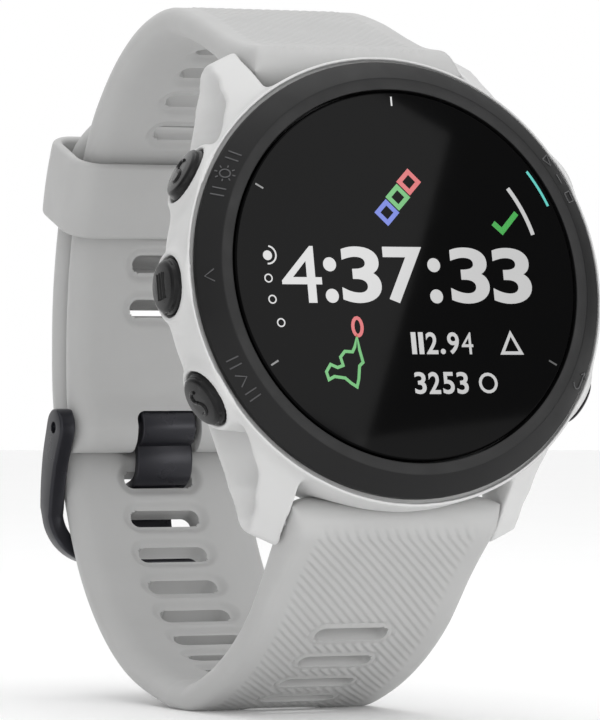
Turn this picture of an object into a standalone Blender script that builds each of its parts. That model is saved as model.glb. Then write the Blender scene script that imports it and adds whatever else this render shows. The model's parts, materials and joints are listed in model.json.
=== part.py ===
"""GPS running watch, buckled into a loop and standing on the bottom of its band.

Metres, +Z up. The dial faces -Y and leans back; 12 o'clock is up and +X is the dial's right.
The case is modelled in its own frame, with x to 3 o'clock, y to 12 o'clock and z out of the
dial, from a datum point on the dial's centre line. The band is modelled around the same
datum in upright axes. Lengths below are in millimetres and scaled once, by MM.
"""
import math

import bmesh
import bpy
from mathutils import Matrix, Vector

MM = 0.001

# Driving dimensions, in millimetres unless a name says degrees.
TILT_DEG = 11.7                    # how far the dial leans back
DATUM = (0.6, -29.8, 42.6)         # the dial's datum above the middle of the footprint
GAP = 0.3                          # usual clearance between neighbours

LENS_TOP = -0.35                   # heights in the case frame, measured along its z
LENS_R = 17.83
BEZEL_INNER_R = 18.05
BEZEL_STEP_R = 19.18
BEZEL_R = 21.25
BEZEL_FOOT = -2.65
CASE_R = 21.85
CASE_RIM = -2.35
CASE_FLOOR = -11.2
CAVITY_R = 18.6
COVER_R = 16.65
COVER_FACE = -11.7
WINDOW_FACE = -13.3

LUG_GAP = 22.4                     # a 22 mm band fits between the lugs
LUG_TIP = (24.17, -10.19)          # y and z of the lug's inner front corner
BAR_Y = 22.0                       # spring bar axis in the case frame
BAR_Z = -8.9
BAND_HEAD_R = 2.3                  # the band's barrel round the spring bar

BUTTON_Z = -6.0
BUTTON_R = 2.7
BUTTON_FACE = 23.05                # distance of the button's face from the case axis
STEM_END = 17.5                    # inner end of the button's stem
BUTTON_TRAVEL = 0.6
BUTTONS_DEG = {"light": 151.0, "up": 180.0, "down": 209.0, "start": 29.0, "back": -29.0}

BAND_WIDTH_LUG = 22.0
BAND_WIDTH_REAR = 20.6
BAND_THICKNESS = 2.9
SLOT_LENGTH = 7.7
SLOT_HEIGHT = 1.95
SLOT_PITCH = 4.61

PIN = (57.0, -15.0)                # buckle pin axis: y and z from the datum
FAR_BAR = (59.1, -28.3)            # the buckle frame's outer bar
BUCKLE_INNER_X = 10.9
BUCKLE_WALL = 1.4

# Outer faces of the two straps as they lie, y and z from the datum, from lug to end.
UPPER_PATH = [(14.2, 21.8), (20.3, 23.6), (26.4, 25.6), (32.8, 26.8), (38.8, 25.9),
              (44.2, 23.6), (48.9, 20.3), (52.7, 16.3), (55.6, 11.2), (57.6, 5.6),
              (58.9, -1.0), (59.3, -7.5), (59.1, -15.2)]
LOWER_PATH = [(3.3, -25.3), (7.6, -29.4), (11.9, -34.0), (16.2, -37.3), (20.7, -39.8),
              (25.2, -41.6), (29.0, -42.6), (33.0, -42.6), (38.0, -41.7), (43.0, -40.3),
              (47.5, -38.1), (51.5, -35.1), (55.0, -31.4), (57.7, -27.2), (59.8, -22.6),
              (61.5, -18.0), (62.8, -12.6), (63.1, -7.5), (62.8, -1.0), (61.4, 6.0),
              (59.0, 12.1), (56.8, 16.2)]

PATH_STEP = 2.2                    # spacing of the strap's cross-sections
GROUND = -DATUM[2]                 # the band's z where it rests on a table
TAPER_LENGTH = 40.0
TAIL_ROUND = 7.0
LOWER_SLOT_START = 13.0            # along the outer face, from the lug end
LOWER_SLOTS = 20
UPPER_SLOT_START = 28.5
UPPER_SLOT_PITCH = 4.87
UPPER_SLOTS = 8
NOTCH_WIDTH = 7.2                  # gap in the upper strap's end for the tongue
TONGUE_PATH = [(57.0, -16.4), (56.6, -18.0), (57.0, -19.4), (58.3, -20.2), (60.6, -20.95),
               (61.8, -22.1), (62.0, -24.5), (61.0, -28.5)]
LEVER_DEG = 154.9                  # the release lever's lean about the spring bar
KEEPER_AT = (56.42, 9.7)
KEEPER_DEG = 21.0
KEEPER_ARC_R = 33.0

CASE_STEPS = 48                    # facets round the large rings
SMALL_STEPS = 32
TINY_STEPS = 14

COLOURS = {                        # base colour, roughness, metallic
    "case_polymer": ((0.80, 0.80, 0.80), 0.45, 0.0),
    "bezel_polymer": ((0.035, 0.035, 0.037), 0.5, 0.0),
    "lens_glass": ((0.01, 0.01, 0.011), 0.08, 0.0),
    "silicone": ((0.55, 0.55, 0.55), 0.6, 0.0),
    "black_metal": ((0.03, 0.03, 0.032), 0.3, 1.0),
    "steel": ((0.6, 0.6, 0.6), 0.3, 1.0),
    "black_rubber": ((0.02, 0.02, 0.02), 0.7, 0.0),
    "display": ((0.02, 0.02, 0.025), 0.3, 0.0),
    "circuit_board": ((0.02, 0.12, 0.05), 0.5, 0.0),
    "dark_plastic": ((0.05, 0.05, 0.05), 0.5, 0.0),
    "cell_foil": ((0.65, 0.66, 0.68), 0.35, 1.0),
    "gold_contact": ((0.83, 0.63, 0.28), 0.3, 1.0),
    "sensor_glass": ((0.015, 0.01, 0.012), 0.12, 0.0),
}


# ---------------------------------------------------------------- scene and helpers

def clear_scene():
    for obj in list(bpy.data.objects):
        bpy.data.objects.remove(obj, do_unlink=True)


def new_collection(name):
    collection = bpy.data.collections.new(name)
    bpy.context.scene.collection.children.link(collection)
    return collection


def material(slot):
    """The slot's material, made the first time it is asked for."""
    if slot in bpy.data.materials:
        return bpy.data.materials[slot]
    colour, roughness, metallic = COLOURS[slot]
    mat = bpy.data.materials.new(slot)
    mat.use_nodes = True
    shader = mat.node_tree.nodes["Principled BSDF"]
    shader.inputs["Base Color"].default_value = (*colour, 1.0)
    shader.inputs["Roughness"].default_value = roughness
    shader.inputs["Metallic"].default_value = metallic
    return mat


def scaled(point):
    return Vector(point) * MM


def make_empty(name, location=(0, 0, 0), rotation=(0, 0, 0), parent=None):
    frame = bpy.data.objects.new(name, None)
    frame.location = scaled(location)
    frame.rotation_euler = rotation
    frame.parent = parent
    frame.empty_display_size = 0.005
    PARTS.objects.link(frame)
    return frame


def as_cutter(obj):
    """Mark an object as a helper: it shapes other pieces and isn't one itself."""
    for collection in list(obj.users_collection):
        collection.objects.unlink(obj)
    CUTTERS.objects.link(obj)
    obj.hide_render = True
    obj.display_type = "WIRE"
    return obj


def mesh_object(name, bm, slot=None, parent=None, origin=(0, 0, 0), smooth_deg=30):
    """Object from a bmesh in its parent's axes, with its origin moved to the given point."""
    origin = scaled(origin)
    bmesh.ops.translate(bm, vec=-origin, verts=bm.verts)
    bmesh.ops.recalc_face_normals(bm, faces=bm.faces)
    mesh = bpy.data.meshes.new(name)
    bm.to_mesh(mesh)
    bm.free()
    mesh.shade_smooth()
    mesh.set_sharp_from_angle(angle=math.radians(smooth_deg))
    return place(bpy.data.objects.new(name, mesh), slot, parent, origin)


def place(obj, slot, parent, location):
    """Link an object as a part when it has a material slot, and else as a cutter."""
    obj.parent = parent
    obj.location = location
    if slot is None:
        return as_cutter(obj)
    obj.data.materials.append(material(slot))
    PARTS.objects.link(obj)
    return obj


def turned(name, profile, steps, slot=None, parent=None, origin=(0, 0, 0)):
    """Revolve a profile of (radius, height) points, listed down its outer side."""
    closed = profile[0][0] > 0.0
    mesh = bpy.data.meshes.new(name)
    points = [scaled((radius - origin[0], -origin[1], height - origin[2]))
              for radius, height in profile]
    count = len(points)
    edges = [(i, i + 1) for i in range(count - 1)]
    if closed:
        edges.append((count - 1, 0))
    mesh.from_pydata(points, edges, [])
    obj = place(bpy.data.objects.new(name, mesh), slot, parent, scaled(origin))
    screw = obj.modifiers.new("turn", "SCREW")
    screw.steps = steps
    screw.render_steps = steps
    screw.use_merge_vertices = True
    screw.merge_threshold = 0.00001
    screw.use_smooth_shade = True
    return obj


def bm_cylinder(radius, start, end, steps, end_radius=None):
    """Cylinder or cone between two points, in millimetres."""
    start, end = scaled(start), scaled(end)
    axis = end - start
    turn = axis.to_track_quat("Z", "Y").to_matrix().to_4x4()
    bm = bmesh.new()
    bmesh.ops.create_cone(
        bm, cap_ends=True, segments=steps, radius1=radius * MM,
        radius2=(radius if end_radius is None else end_radius) * MM, depth=axis.length,
        matrix=Matrix.Translation((start + end) / 2) @ turn)
    return bm


def bm_box(low, high):
    low, high = scaled(low), scaled(high)
    size = Matrix.Diagonal((*(high - low), 1.0))
    bm = bmesh.new()
    bmesh.ops.create_cube(bm, size=1.0, matrix=Matrix.Translation((low + high) / 2) @ size)
    return bm


def bm_hull(points):
    bm = bmesh.new()
    for point in points:
        bm.verts.new(scaled(point))
    hull = bmesh.ops.convex_hull(bm, input=bm.verts)
    loose = set(hull["geom_interior"]) | set(hull["geom_unused"])
    bmesh.ops.delete(bm, geom=[item for item in loose if isinstance(item, bmesh.types.BMVert)])
    bmesh.ops.dissolve_limit(bm, angle_limit=math.radians(1), verts=bm.verts, edges=bm.edges)
    return bm


def bm_outline(outline, depth):
    """A flat outline in XY, thickened to the given depth about z = 0."""
    curve = bpy.data.curves.new("outline", "CURVE")
    curve.dimensions = "2D"
    curve.fill_mode = "BOTH"
    curve.extrude = depth * MM / 2
    spline = curve.splines.new("POLY")
    spline.points.add(len(outline) - 1)
    for target, (x, y) in zip(spline.points, outline):
        target.co = (x * MM, y * MM, 0, 1)
    spline.use_cyclic_u = True
    holder = bpy.data.objects.new("outline", curve)
    CUTTERS.objects.link(holder)
    depsgraph = bpy.context.evaluated_depsgraph_get()
    mesh = bpy.data.meshes.new_from_object(holder.evaluated_get(depsgraph))
    bm = bmesh.new()
    bm.from_mesh(mesh)
    bmesh.ops.remove_doubles(bm, verts=bm.verts, dist=0.000005)
    bpy.data.objects.remove(holder, do_unlink=True)
    bpy.data.curves.remove(curve)
    bpy.data.meshes.remove(mesh)
    return bm


def boolean(obj, tool, operation="DIFFERENCE"):
    modifier = obj.modifiers.new(operation.lower(), "BOOLEAN")
    modifier.operation = operation
    modifier.solver = "EXACT"
    modifier.object = tool
    return modifier


def cut(obj, bm, parent=None):
    boolean(obj, mesh_object(obj.name + "_cut", bm, None, parent))


def join(obj, bm, parent=None):
    boolean(obj, mesh_object(obj.name + "_add", bm, None, parent), "UNION")


def soften(obj, width, segments=1, angle_deg=40):
    bevel = obj.modifiers.new("soften", "BEVEL")
    bevel.width = width * MM
    bevel.segments = segments
    bevel.limit_method = "ANGLE"
    bevel.angle_limit = math.radians(angle_deg)
    return bevel


def coil(name, radius, wire, bottom, top, turns, slot, parent, location=(0, 0, 0),
         rotation=(0, 0, 0)):
    """Compression spring along the object's z, with a point every eighth of a turn."""
    per_turn = 8
    curve = bpy.data.curves.new(name, "CURVE")
    curve.dimensions = "3D"
    curve.bevel_depth = wire * MM
    curve.bevel_resolution = 0
    curve.use_fill_caps = True
    spline = curve.splines.new("POLY")
    count = int(turns * per_turn)
    spline.points.add(count)
    for i, target in enumerate(spline.points):
        angle = math.tau * i / per_turn
        height = bottom + (top - bottom) * i / count
        target.co = (radius * MM * math.cos(angle), radius * MM * math.sin(angle),
                     height * MM, 1)
    obj = place(bpy.data.objects.new(name, curve), slot, parent, scaled(location))
    obj.rotation_euler = rotation
    return obj


# ---------------------------------------------------------------- case and its covers

def sides():
    """The four lug corners, as signs of x and y."""
    return [(x, y) for x in (1, -1) for y in (1, -1)]


def mirrored(points, side):
    return [(x * side[0], y * side[1], z) for x, y, z in points]


def lug_points():
    """One lug's corners at +x +y: a sloping front plate over a block down to the case floor."""
    inner = LUG_GAP / 2
    tip_y, tip_z = LUG_TIP
    front_inner = [(inner, 17.8, CASE_RIM), (inner, 19.9, -4.3), (inner, tip_y, tip_z)]
    front_outer = [(16.6, 12.8, CASE_RIM), (16.5, 14.1, -3.6), (14.6, tip_y - 1.4, tip_z + 0.3)]
    floor = CASE_FLOOR + 0.12
    back = [(inner, 14.0, floor), (inner, tip_y - 0.7, floor), (14.4, 22.4, floor),
            (15.5, 20.7, floor), (17.0, 13.2, floor), (17.0, 10.0, floor)]
    root = [(inner, 14.0, -3.0), (16.6, 10.0, -3.0)]
    return front_inner + front_outer + back + root


def scoop_points():
    """The hollow in a lug's outer side, between its front ridge and its thin back edge."""
    mouth = [(17.6, 13.0, -5.4), (16.5, 16.6, -7.0), (15.1, 21.5, -9.9), (15.6, 20.9, -10.6),
             (17.2, 13.6, -10.5)]
    floor = [(14.6, 14.6, -6.6), (14.4, 19.4, -9.4), (14.7, 14.6, -9.6)]
    outside = [(x + 4.0, y, z) for x, y, z in mouth]
    return mouth + floor + outside


def button_frame(name, angle_deg):
    """Axes at the case centre whose z points out along one button."""
    return make_empty(name + "_axis", (0, 0, BUTTON_Z),
                      (0, math.radians(90), math.radians(angle_deg)), CASE)


def build_case_body(button_frames):
    stock = CAVITY_R - 0.7
    body = turned("case_body", [
        (stock, CASE_RIM), (CASE_R, CASE_RIM), (CASE_R - 0.1, -4.5), (CASE_R - 0.25, -7.6),
        (21.1, -9.3), (20.1, -10.5), (18.7, CASE_FLOOR), (COVER_R + GAP, CASE_FLOOR),
        (COVER_R + GAP, -9.7), (13.2, -9.7), (13.2, -8.7), (stock, -8.7),
    ], CASE_STEPS, "case_polymer", CASE)
    for side in sides():
        lug = mesh_object("lug", bm_hull(mirrored(lug_points(), side)), None, CASE)
        soften(lug, 0.5, 2, 25)
        boolean(body, lug, "UNION")
        cut(body, bm_hull(mirrored(scoop_points(), side)), CASE)
    for frame in button_frames.values():
        join(body, bm_cylinder(4.2, (0, 0, 20.4), (0, 0, 22.2), 24, 3.35), frame)
    cut(body, bm_cylinder(CAVITY_R, (0, 0, -8.9), (0, 0, 0), CASE_STEPS), CASE)
    cut(body, bm_cylinder(BEZEL_R + 0.2, (0, 0, BEZEL_FOOT - GAP), (0, 0, 0), CASE_STEPS), CASE)
    for frame in button_frames.values():
        cut(body, bm_cylinder(BUTTON_R + 0.25, (0, 0, 20.55), (0, 0, 25.0), 20), frame)
        cut(body, bm_cylinder(1.1, (0, 0, 17.0), (0, 0, 21.0), TINY_STEPS), frame)
    for end in (1, -1):
        bar = (end * BAR_Y, BAR_Z)
        cut(body, bm_cylinder(BAND_HEAD_R + 0.35, (-10.6, *bar), (10.6, *bar), 28), CASE)
        cut(body, bm_cylinder(0.6, (-12.6, *bar), (12.6, *bar), 12), CASE)
    for x, y in screw_places():
        cut(body, bm_cylinder(0.65, (x, y, -9.9), (x, y, -8.7), 12), CASE)


def screw_places():
    radius = 14.6
    return [(radius * math.cos(angle), radius * math.sin(angle))
            for angle in (math.radians(45 + 90 * i) for i in range(4))]


def build_dial():
    turned("bezel", [
        (BEZEL_INNER_R, LENS_TOP), (BEZEL_STEP_R, LENS_TOP), (BEZEL_R, -1.93),
        (BEZEL_R, BEZEL_FOOT), (16.7, BEZEL_FOOT), (16.7, -2.15), (BEZEL_INNER_R, -2.15),
    ], CASE_STEPS, "bezel_polymer", CASE)
    turned("lens", [(0, LENS_TOP), (LENS_R - 0.2, LENS_TOP), (LENS_R, LENS_TOP - 0.2),
                    (LENS_R, -1.6), (0, -1.6)], CASE_STEPS, "lens_glass", CASE)
    turned("lens_gasket", [(17.0, -1.75), (17.75, -1.75), (17.75, -2.0), (17.0, -2.0)],
           SMALL_STEPS, "black_rubber", CASE)
    turned("display_panel", [(0, -1.8), (16.3, -1.8), (16.3, -2.55), (0, -2.55)],
           SMALL_STEPS, "display", CASE)
    turned("display_frame", [(0, -2.85), (16.4, -2.85), (16.4, -3.9), (15.3, -3.9),
                             (15.3, -3.4), (0, -3.4)], SMALL_STEPS, "dark_plastic", CASE)
    turned("gps_antenna", [(17.0, -3.05), (18.2, -3.05), (18.2, -3.95), (17.0, -3.95)],
           SMALL_STEPS, "gold_contact", CASE)


def build_electronics():
    turned("main_board", [(0, -4.25), (16.7, -4.25), (16.7, -4.95), (0, -4.95)],
           SMALL_STEPS, "circuit_board", CASE)
    cell = mesh_object("battery", bm_cylinder(11.3, (0, 2.4, -8.55), (0, 2.4, -5.3), 24),
                       "cell_foil", CASE)
    soften(cell, 0.4)
    mesh_object("vibration_motor", bm_cylinder(3.4, (0, -12.6, -8.3), (0, -12.6, -5.3), 16),
                "steel", CASE)
    mesh_object("buzzer", bm_cylinder(3.0, (8.4, -11.6, -6.5), (8.4, -11.6, -5.3), 16),
                "gold_contact", CASE)


def build_back():
    cover = turned("back_cover", [
        (COVER_R, -10.4), (COVER_R, -11.3), (15.9, COVER_FACE), (10.9, COVER_FACE),
        (9.9, -12.9), (7.35, -12.9), (7.35, -12.0), (6.3, -12.0), (6.3, -10.4),
    ], 36, "case_polymer", CASE)
    for x, y in screw_places():
        cut(cover, bm_cylinder(1.3, (x, y, -12.5), (x, y, -10.95), 12), CASE)
        cut(cover, bm_cylinder(0.75, (x, y, -11.2), (x, y, -10.0), 12), CASE)
    cut(cover, bm_box((-4.2, 11.7, -12.5), (4.2, 14.7, -11.05)), CASE)
    turned("back_gasket", [(15.9, -9.85), (16.5, -9.85), (16.5, -10.25), (15.9, -10.25)],
           SMALL_STEPS, "black_rubber", CASE)
    turned("sensor_window", [(0, -12.3), (7.05, -12.3), (7.05, -13.0), (6.6, WINDOW_FACE),
                             (0, WINDOW_FACE)], SMALL_STEPS, "sensor_glass", CASE)
    turned("sensor_board", [(0, -10.7), (5.8, -10.7), (5.8, -11.7), (0, -11.7)], 20,
           "circuit_board", CASE)
    contacts = mesh_object("charging_contacts", bm_box((-3.9, 12.0, -11.5), (3.9, 14.4, -11.15)),
                           "dark_plastic", CASE)
    for i in range(4):
        x = -2.7 + 1.8 * i
        join(contacts, bm_cylinder(0.45, (x, 13.2, -11.65), (x, 13.2, -11.3), 10), CASE)
    for i, (x, y) in enumerate(screw_places()):
        screw = turned(f"back_screw_{i + 1}", [(0, -9.1), (0.5, -9.1), (0.5, -11.05),
                                               (1.05, -11.05), (1.05, -11.55), (0, -11.55)],
                       12, "steel", CASE)
        screw.location = scaled((x, y, 0))
        cut(screw, bm_cylinder(0.5, (x, y, -11.8), (x, y, -11.3), 6), CASE)


def build_button(name, frame):
    """Button, its O-ring, its clip, its spring and the switch that it presses."""
    turned("button_" + name, [
        (0, BUTTON_FACE), (1.7, BUTTON_FACE - 0.1), (2.4, BUTTON_FACE - 0.45), (2.45, 22.35),
        (BUTTON_R, 22.2), (BUTTON_R, 21.35), (0.9, 21.35), (0.9, 19.85), (0.62, 19.85),
        (0.62, 19.15), (0.9, 19.15), (0.9, 18.4), (0.6, 18.4), (0.6, 17.9), (0.9, 17.9),
        (0.9, STEM_END), (0, STEM_END),
    ], TINY_STEPS, "black_metal", frame)
    turned("button_seal_" + name, [(0.75, 19.7), (0.92, 19.7), (0.99, 19.5), (0.92, 19.3),
                                   (0.75, 19.3)], TINY_STEPS, "black_rubber", frame)
    clip = turned("button_clip_" + name, [(0.7, 18.3), (1.6, 18.3), (1.6, 18.0), (0.7, 18.0)],
                  TINY_STEPS, "steel", frame)
    cut(clip, bm_box((0.1, -0.5, 17.5), (2.5, 0.5, 18.8)), frame)
    coil("button_spring_" + name, 1.9, 0.12, 20.75, 21.15, 2, "steel", frame)
    switch = STEM_END - BUTTON_TRAVEL - 0.15
    mesh_object("button_switch_" + name, bm_box((-0.7, -1.5, switch - 1.15), (0.8, 1.5, switch)),
                "dark_plastic", frame)


# ---------------------------------------------------------------- band

def smooth_path(points, spacing):
    """Evenly spaced points on a centripetal curve through the given ones."""
    knots = [Vector(p) for p in points]
    knots = [2 * knots[0] - knots[1]] + knots + [2 * knots[-1] - knots[-2]]
    dense = []
    for a, b, c, d in zip(knots, knots[1:], knots[2:], knots[3:]):
        for i in range(20):
            t = i / 20
            dense.append(0.5 * (2 * b + (c - a) * t + (2 * a - 5 * b + 4 * c - d) * t * t
                                + (3 * b - a - 3 * c + d) * t ** 3))
    dense.append(knots[-2])
    run = [0.0]
    for a, b in zip(dense, dense[1:]):
        run.append(run[-1] + (b - a).length)
    count = max(2, round(run[-1] / spacing))
    path, k = [], 0
    for i in range(count + 1):
        target = run[-1] * i / count
        while k < len(run) - 2 and run[k + 1] < target:
            k += 1
        share = (target - run[k]) / (run[k + 1] - run[k])
        path.append(dense[k].lerp(dense[k + 1], share))
    return path


def grounded(path):
    """The same path with no point below the table, which gives the band a flat to stand on."""
    return [Vector((p.x, max(p.y, GROUND))) for p in path]


def path_normals(path, inward):
    """Unit normals of a y-z path, turned to the side given by the sign."""
    normals = []
    for i in range(len(path)):
        step = (path[min(i + 1, len(path) - 1)] - path[max(i - 1, 0)]).normalized()
        normals.append(Vector((step.y, -step.x)) * inward)
    return normals


def section(width, thickness, corner):
    """Rounded rectangle, as (across, depth below the outer face) points."""
    half, low, high = width / 2 - corner, corner, thickness - corner
    outline = []
    for i, (across, depth) in enumerate(((half, low), (half, high), (-half, high), (-half, low))):
        for angle in (0, 45, 90):
            turn = math.radians(90 * i - 90 + angle)
            outline.append((across + corner * math.cos(turn), depth + corner * math.sin(turn)))
    return outline


def bm_strip(path, normals, widths, thicknesses, corner):
    """Loft of rounded rectangles along a y-z path, closed at both ends."""
    bm = bmesh.new()
    rings = []
    for point, normal, width, thickness in zip(path, normals, widths, thicknesses):
        ring = []
        for across, depth in section(width, thickness, min(corner, thickness * 0.45)):
            at = point + normal * depth
            ring.append(bm.verts.new(scaled((across, at.x, at.y))))
        rings.append(ring)
    for a, b in zip(rings, rings[1:]):
        for i in range(len(a)):
            j = (i + 1) % len(a)
            bm.faces.new((a[i], a[j], b[j], b[i]))
    bm.faces.new(rings[0])
    bm.faces.new(rings[-1])
    return bm


def to_band(y, z):
    """A point of the case frame's y-z plane, in the band's upright y and z."""
    tilt = math.radians(TILT_DEG)
    return (y * math.sin(tilt) - z * math.cos(tilt), y * math.cos(tilt) + z * math.sin(tilt))


def stadium(length, height, steps=5):
    radius = height / 2
    outline = []
    for side in (1, -1):
        for i in range(steps + 1):
            angle = math.radians(-90 + 180 * i / steps) + (math.pi if side < 0 else 0)
            outline.append((side * (length / 2 - radius) + radius * math.cos(angle),
                            radius * math.sin(angle)))
    return outline


def ribbon(path, half_widths):
    """Outline of a band of changing width along a path, with round ends."""
    normals = path_normals(path, 1)
    left = [p + n * w for p, n, w in zip(path, normals, half_widths)]
    right = [p - n * w for p, n, w in zip(path, normals, half_widths)]
    outline = [tuple(p) for p in left]
    outline += round_end(path[-1], normals[-1], half_widths[-1])
    outline += [tuple(p) for p in reversed(right)]
    outline += round_end(path[0], -normals[0], half_widths[0])
    return outline


def round_end(centre, start, radius):
    """Three points round a semicircle, anticlockwise from the start direction."""
    points = []
    for angle in (45, 90, 135):
        turned_by = Matrix.Rotation(math.radians(angle), 2)
        points.append(tuple(centre + turned_by @ start * radius))
    return points


def slot_cutter(point, normal, tangent):
    """Stadium prism through the strap, its length across the band."""
    bm = bm_outline(stadium(SLOT_LENGTH, SLOT_HEIGHT), 9.0)
    axes = Matrix((
        (1, 0, 0, 0),
        (0, tangent.x, normal.x, point.x * MM),
        (0, tangent.y, normal.y, point.y * MM),
        (0, 0, 0, 1)))
    bmesh.ops.transform(bm, matrix=axes, verts=bm.verts)
    return bm


def cut_slots(strap, outer, inward, distances):
    """Cut a slot square through the strap at each distance along its outer face."""
    fine = 0.1
    path = smooth_path(outer, fine)
    normals = path_normals(path, inward)
    for distance in distances:
        i = round(distance / fine)
        tangent = Vector((normals[i].y, -normals[i].x))
        cut(strap, slot_cutter(path[i], normals[i], tangent), BAND)


def across_x(outline, depth, x=0.0):
    """An outline of y-z points, thickened along X about the given x."""
    bm = bm_outline(outline, depth)
    axes = Matrix(((0, 0, 1, x * MM), (1, 0, 0, 0), (0, 1, 0, 0), (0, 0, 0, 1)))
    bmesh.ops.transform(bm, matrix=axes, verts=bm.verts)
    return bm


def lever_block(end, low, high):
    """Box in the release lever's axes: x along the spring bar, z out towards the wrist."""
    bm = bm_box(low, high)
    lean = Matrix.Rotation(math.radians(LEVER_DEG) * end, 4, "X")
    bmesh.ops.transform(bm, verts=bm.verts,
                        matrix=Matrix.Translation(scaled((0, end * BAR_Y, BAR_Z))) @ lean)
    return bm


def strap_widths(path, taper_end):
    """Width at each path point: it narrows from the lugs, and rounds off at a tail."""
    widths = []
    total = (len(path) - 1) * PATH_STEP
    for i in range(len(path)):
        run = i * PATH_STEP
        share = min(1.0, run / TAPER_LENGTH)
        width = BAND_WIDTH_LUG + (BAND_WIDTH_REAR - BAND_WIDTH_LUG) * share
        left = total - run
        if taper_end and left < TAIL_ROUND:
            width *= 0.45 + 0.55 * math.sqrt(1 - (1 - left / TAIL_ROUND) ** 2)
        widths.append(width)
    return widths


def build_strap(name, outer, inward, end, slots, taper_end):
    """One strap: its lofted blade, the barrel round the spring bar and the slots."""
    path = grounded(smooth_path(outer, PATH_STEP))
    normals = path_normals(path, inward)
    axis = (0, *to_band(end * BAR_Y, BAR_Z))
    widths = strap_widths(path, taper_end)
    strap = mesh_object(name, bm_strip(path, normals, widths,
                                       [BAND_THICKNESS] * len(path), 1.2),
                        "silicone", BAND, axis)
    half = BAND_WIDTH_LUG / 2 - 0.05
    bar = (end * BAR_Y, BAR_Z)
    join(strap, bm_cylinder(BAND_HEAD_R, (-half, *bar), (half, *bar), 20), CASE)
    cut(strap, bm_cylinder(1.15, (-12, *bar), (12, *bar), 12), CASE)
    cut(strap, lever_block(end, (-8.9, -0.85, 0), (-5.4, 0.85, 4.5)), CASE)
    cut_slots(strap, outer, inward, slots)
    return strap


def build_band():
    lower_slots = [LOWER_SLOT_START + SLOT_PITCH * i for i in range(LOWER_SLOTS)]
    build_strap("lower_strap", LOWER_PATH, -1, -1, lower_slots, True)
    upper_slots = [UPPER_SLOT_START + UPPER_SLOT_PITCH * i for i in range(UPPER_SLOTS)]
    upper = build_strap("upper_strap", UPPER_PATH, 1, 1, upper_slots, False)
    half = BAND_WIDTH_REAR / 2 - 0.05
    join(upper, bm_cylinder(2.0, (-half, *PIN), (half, *PIN), 20), BAND)
    notch = NOTCH_WIDTH / 2
    cut(upper, bm_box((-notch, 50, -20), (notch, 63, -12.6)), BAND)
    cut(upper, bm_cylinder(0.95, (-12, *PIN), (12, *PIN), 12), BAND)


def build_spring_bar(name, end):
    """Spring bar with its fixed pin, its sprung pin and the lever that draws that pin in."""
    bar = (end * BAR_Y, BAR_Z)
    tube = mesh_object(name + "_spring_bar", bm_cylinder(0.9, (-10.7, *bar), (10.7, *bar), 12),
                       "steel", CASE, (0, *bar))
    join(tube, bm_cylinder(0.42, (10.5, *bar), (11.95, *bar), 8), CASE)
    cut(tube, bm_cylinder(0.64, (-10.9, *bar), (-3.0, *bar), 12), CASE)
    cut(tube, lever_block(end, (-8.5, -0.45, 0), (-6.1, 0.45, 1.5)), CASE)
    pin = mesh_object(name + "_release_pin",
                      bm_cylinder(0.42, (-11.95, *bar), (-5.7, *bar), 8),
                      "steel", CASE, (0, *bar))
    join(pin, lever_block(end, (-8.1, -0.28, 0), (-7.5, 0.28, 2.6)), CASE)
    join(pin, lever_block(end, (-8.35, -0.55, 2.4), (-7.25, 0.55, 3.2)), CASE)
    coil(name + "_bar_coil", 0.42, 0.09, 0.0, 2.2, 3, "steel", CASE, (-5.45, *bar),
         (0, math.radians(90), 0))


def build_buckle():
    depth = BUCKLE_WALL
    path = smooth_path([PIN, (58.5, -18.5), (59.3, -22.5), (59.2, -26.0), FAR_BAR], 2.4)
    count = len(path) - 1
    widths = [1.95 + (1.05 - 1.95) * i / count for i in range(count + 1)]
    outline = ribbon(path, widths)
    centre = BUCKLE_INNER_X + depth / 2
    frame = mesh_object("buckle_frame", across_x(outline, depth, -centre), "black_metal", BAND,
                        (0, *PIN))
    join(frame, across_x(outline, depth, centre), BAND)
    reach = BUCKLE_INNER_X + 0.5
    join(frame, bm_cylinder(0.95, (-reach, *FAR_BAR), (reach, *FAR_BAR), 14), BAND)
    cut(frame, bm_cylinder(0.85, (-14, *PIN), (14, *PIN), 12), BAND)

    mesh_object("buckle_pin", bm_cylinder(0.7, (-11.7, *PIN), (11.7, *PIN), 12), "steel", BAND,
                (0, *PIN))

    blade = smooth_path(TONGUE_PATH, 1.0)
    tongue = mesh_object("buckle_tongue", bm_cylinder(1.9, (-3.3, *PIN), (3.3, *PIN), 20),
                         "black_metal", BAND, (0, *PIN))
    join(tongue, across_x(ribbon(blade, [0.45] * len(blade)), 6.0), BAND)
    cut(tongue, bm_cylinder(0.9, (-5, *PIN), (5, *PIN), 12), BAND)


def rounded_rectangle(width, height, corner):
    outline = []
    centres = ((1, -1), (1, 1), (-1, 1), (-1, -1))
    for i, (sx, sy) in enumerate(centres):
        for angle in (0, 30, 60, 90):
            turn = math.radians(90 * i - 90 + angle)
            outline.append((sx * (width / 2 - corner) + corner * math.cos(turn),
                            sy * (height / 2 - corner) + corner * math.sin(turn)))
    return outline


def build_keeper():
    """Loop round both straps; it slides on the arc that they make behind the wrist."""
    lean = math.radians(KEEPER_DEG)
    frame = make_empty("keeper_frame", (0, *KEEPER_AT), (lean, 0, 0), BAND)
    reach = (0, -KEEPER_ARC_R, 0)
    keeper = mesh_object("keeper", bm_outline(rounded_rectangle(24.4, 9.7, 2.8), 8.0),
                         "silicone", frame, reach)
    soften(keeper, 0.4)
    cut(keeper, bm_outline(rounded_rectangle(21.8, 7.5, 1.6), 12.0), frame)


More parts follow.
